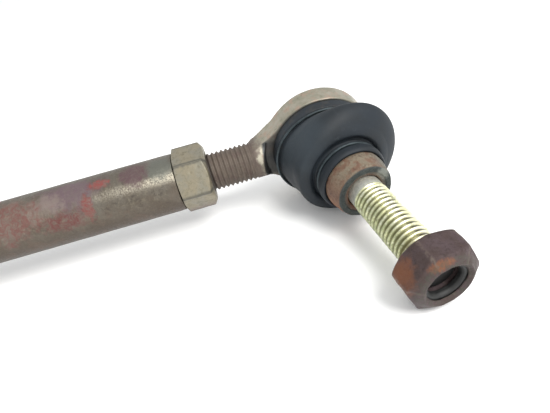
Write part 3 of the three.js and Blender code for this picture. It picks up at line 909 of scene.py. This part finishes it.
def boot_skin(profile):
    """The rubber surface that a profile sweeps, bent and bulged as the boot lies."""
    grid, faces = turned(profile, 144)
    for row, (_, along) in zip(grid, profile):
        matrix = np.array(boot_place(along))
        row[:] = row @ matrix[:3, :3].T + matrix[:3, 3]
    return dented((grid, faces), 0.12, 7.0, 4)


def boot_halves():
    """The boot's section: the outside and inside below its widest part, and all of it above."""
    foot = soften([
        (13.9, 1.75),
        (16.1, 1.75, 0.3),
        (16.2, 5.0, 0.45),
        (15.15, 5.45, 0.2),
        (15.1, 6.5, 0.2),
        (15.75, 6.9, 0.3),
    ])[:-1]
    lower_bulge = spline([(15.6, 6.8), (16.2, 7.6), (16.8, 8.9), (17.2, 10.2), (17.3, BOOT_SEAM)])
    upper_bulge = spline([
        (17.3, BOOT_SEAM), (17.2, 12.8), (16.8, 14.1), (16.0, 15.5), (14.8, 16.8),
        (13.2, 17.8), (11.9, 18.2), (11.1, 17.9), (10.5, 17.3), (9.6, 17.3),
    ])
    lip = soften([
        (9.0, 17.4, 0.2),
        (8.9, 19.6, 0.25),
        (9.9, 20.1, 0.3),
        (10.35, 20.6, 0.35),
        (10.3, 22.6, 0.5),
        (9.8, 23.4, 0.3),
        (9.25, 23.3, 0.2),
        (9.2, 22.2, 0.1),
        (7.35, 22.2),
    ])
    upper_inside = spline([
        (7.4, 22.1), (7.4, 19.2), (8.3, 17.6), (9.7, 16.4), (12.0, 15.4), (14.4, 14.0), (15.6, BOOT_SEAM),
    ], 4)
    lower_inside = spline([(15.6, BOOT_SEAM), (15.0, 9.2), (14.0, 7.4), (13.9, 6.0), (13.9, 1.8)], 4)
    return [*foot, *lower_bulge], lower_inside, [*upper_bulge, *lip[1:], *upper_inside]


def build_boot(material):
    lower, lower_inside, upper = boot_halves()
    lower_skin = [boot_skin(subdivide(lower, 0.8)), boot_skin(lower_inside)]
    upper_skin = [boot_skin(subdivide(upper, 0.8))]
    base = add_piece("dust_boot_base", ROD, lower_skin, material, None, "dust_boot")
    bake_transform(base)
    neck = add_piece("dust_boot_neck", ROD, upper_skin, material, None, "dust_boot")
    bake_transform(neck)


# ---- Pieces on the stud ----
def build_stud(material):
    neck_angle = math.acos(BALL_NECK_RADIUS / BALL_RADIUS)
    angles = np.linspace(-math.pi / 2 + 0.01, neck_angle, 24)
    ball = [(BALL_RADIUS * math.cos(a), BALL_RADIUS * math.sin(a)) for a in angles]
    shaft = soften([
        (BALL_NECK_RADIUS, 8.5, 0.5),
        (BALL_NECK_RADIUS + 0.1, 11.0, 1.0),
        (7.0, 15.5, 1.0),
        (7.0, COLLAR_BACK - 0.3, 0.2),
        (STUD_RADIUS - 0.1, COLLAR_BACK - 0.3, 0.2),
        (STUD_ROOT, STUD_THREAD_START + 0.1),
    ])
    thread_end = STUD_END - 0.8
    threads = thread(STUD_RADIUS, STUD_ROOT, STUD_THREAD_START, thread_end, STUD_THREAD_DEPTH, (0.9, 1.6))
    end = soften([(STUD_ROOT, thread_end), (STUD_RADIUS - 1.2, STUD_END, 0.2), (0.01, STUD_END)])
    parts = [turned([*ball, *shaft]), threads, turned(end, 72)]
    add_piece("ball_and_threaded_stud", STUD, parts, material, "stud", "ball_stud")


def build_collar(material):
    bore = STUD_RADIUS + 0.2
    outside = soften([
        (bore, COLLAR_BACK),
        (COLLAR_RADIUS - 0.8, COLLAR_BACK, 0.3),
        (COLLAR_RADIUS - 0.6, COLLAR_BACK + 0.8, 0.5),
        (COLLAR_RADIUS - 0.65, COLLAR_FACE - 4.4, 1.0),
        (8.35, COLLAR_FACE - 0.9, 0.5),
        (7.95, COLLAR_FACE, 0.25),
        (6.6, COLLAR_FACE, 0.3),
        (6.3, COLLAR_FACE - 0.35, 0.2),
        (5.7, COLLAR_FACE - 0.35, 0.2),
        (bore, COLLAR_FACE - 0.7),
    ])
    shape = dented(turned(subdivide(outside, 0.6), 120, loop=True), 0.12, 1.8, 5)
    add_piece("tapered_collar", STUD, [shape], material, "stud", "stud_collar")


def build_lock_nut(material):
    flat = NUT_CORNER * math.cos(math.pi / 6)
    insert_room = INSERT_RADIUS + 0.2
    hex_end = CROWN_FRONT - 1.4
    outside = [
        (5.2, NUT_BACK + 0.9),
        (6.0, NUT_BACK, 0.2),
        (flat - 0.4, NUT_BACK, 0.3),
        (NUT_CORNER + 0.4, NUT_BACK + 1.5),
        (NUT_CORNER + 0.4, hex_end - 1.2),
        (flat - 0.5, hex_end + 0.15, 0.5),
        (flat - 1.0, CROWN_FRONT - 0.7, 0.6),
        (flat - 2.1, CROWN_FRONT, 0.8),
        (6.2, CROWN_FRONT - 0.05, 0.4),
        (5.35, CROWN_FRONT - 0.7, 0.4),
        (5.3, CROWN_FRONT - 1.0, 0.1),
        (insert_room, CROWN_FRONT - 1.1, 0.1),
        (insert_room, INSERT_BACK - 0.2, 0.1),
        (5.2, INSERT_BACK - 0.3, 0.1),
    ]
    profile = subdivide(soften(outside), 0.28)
    shape = dented(hex_turned(profile, flat * 2, 0.9, LOCK_NUT_TURN, edge=0.4), 0.14, 2.0, 6)
    add_piece("nyloc_nut_body", STUD, [shape], material, "nut", "lock_nut")


def build_insert(material):
    front = CROWN_FRONT - 1.15
    profile = soften([
        (4.3, INSERT_BACK + 0.2, 0.2),
        (4.6, INSERT_BACK, 0.2),
        (INSERT_RADIUS, INSERT_BACK, 0.2),
        (INSERT_RADIUS, front, 0.3),
        (4.75, front, 0.3),
        (4.3, front - 0.7, 0.3),
    ], loop=True)
    shape = turned(subdivide(profile, 0.6), 96, loop=True)
    add_piece("nut_insert_ring", STUD, [shape], material, "nut_insert", "nylon_insert")


# ---- Floor, light and camera ----
CAMERA_AT = Vector((29.4, -99.2, 82.55)) * MM
CAMERA_LOOK = Vector((0.0620, 0.8319, -0.5515))
CAMERA_ROLL = math.radians(-14.0)
CAMERA_LENS = 28.8  # on a 36 mm wide sensor


def add_camera():
    data = bpy.data.cameras.new("camera")
    data.sensor_width = 36
    data.lens = CAMERA_LENS
    data.clip_start = 0.005
    camera = bpy.data.objects.new("camera", data)
    turn = CAMERA_LOOK.to_track_quat("-Z", "Y").to_matrix().to_4x4()
    camera.matrix_world = Matrix.Translation(CAMERA_AT) @ turn @ Matrix.Rotation(CAMERA_ROLL, 4, "Z")
    bpy.context.scene.collection.objects.link(camera)
    bpy.context.scene.camera = camera


def add_floor():
    size = 3.0
    corners = [(-size, -size, 0), (size, -size, 0), (size, size, 0), (-size, size, 0)]
    mesh = bpy.data.meshes.new("floor")
    mesh.from_pydata(corners, [], [(0, 1, 2, 3)])
    floor = bpy.data.objects.new("floor", mesh)
    s = Shader("pale_floor", Matrix.Scale(MM, 4))
    clouds = s.noise(60, 2, 0.5)
    color = s.mix(clouds, (0.965, 0.97, 0.965, 1), (0.985, 0.985, 0.985, 1))
    mesh.materials.append(s.finish(color, 0.75))
    bpy.context.scene.collection.objects.link(floor)


def add_area(name, position, size, power, color):
    data = bpy.data.lights.new(name, "AREA")
    data.shape = "DISK"
    data.size = size
    data.energy = power
    data.color = color
    light = bpy.data.objects.new(name, data)
    place = Vector(position)
    light.matrix_world = Matrix.Translation(place) @ (-place).to_track_quat("-Z", "Y").to_matrix().to_4x4()
    bpy.context.scene.collection.objects.link(light)


def add_light():
    world = bpy.data.worlds.new("studio")
    world.use_nodes = True
    background = world.node_tree.nodes["Background"]
    background.inputs["Color"].default_value = (0.985, 0.995, 1.0, 1)
    background.inputs["Strength"].default_value = 1.02
    bpy.context.scene.world = world
    add_area("window", (0.36, -0.42, 0.66), 0.5, 8.0, (1.0, 0.99, 0.97))
    bpy.context.scene.view_settings.view_transform = "Standard"


# ---- Assembly ----
def finish_hidden_node(node, material):
    """Gives a CAD node that keeps its own mesh, inside the eye, its material."""
    mesh = frame["nodes"][node].data
    mesh.materials.clear()
    mesh.materials.append(material)


def build_all():
    build_housing(housing_material())
    build_jam_nut(jam_nut_material())
    build_tube(tube_material())
    spring = plain_material("spring_steel", "262e31", "384246", 0.5, 0.5)
    build_end_cap(plain_material("cap_zinc", "8f8a7c", "a39d8d", 0.45, 0.7))
    build_wire_ring("foot_clamp_ring", ROD, FOOT_RING, spring, "housing", "boot_foot_ring")
    build_wire_ring("neck_clamp_ring", STUD, NECK_RING, spring, "boot_neck", "boot_neck_ring")
    build_boot(boot_material())
    build_stud(yellow_zinc_material())
    build_collar(collar_material())
    build_lock_nut(rusty_nut_material())
    build_insert(plain_material("insert_nylon", "101111", "1f201f", 0.6, place=STUD))
    polymer = plain_material("shell_polymer", "d9d3c0", "e8e3d3", 0.45)
    finish_hidden_node("bearing_shell_front", polymer)
    finish_hidden_node("bearing_shell_back", polymer)
    finish_hidden_node("preload_washer", spring)


add_camera()
add_floor()
add_light()
build_all()
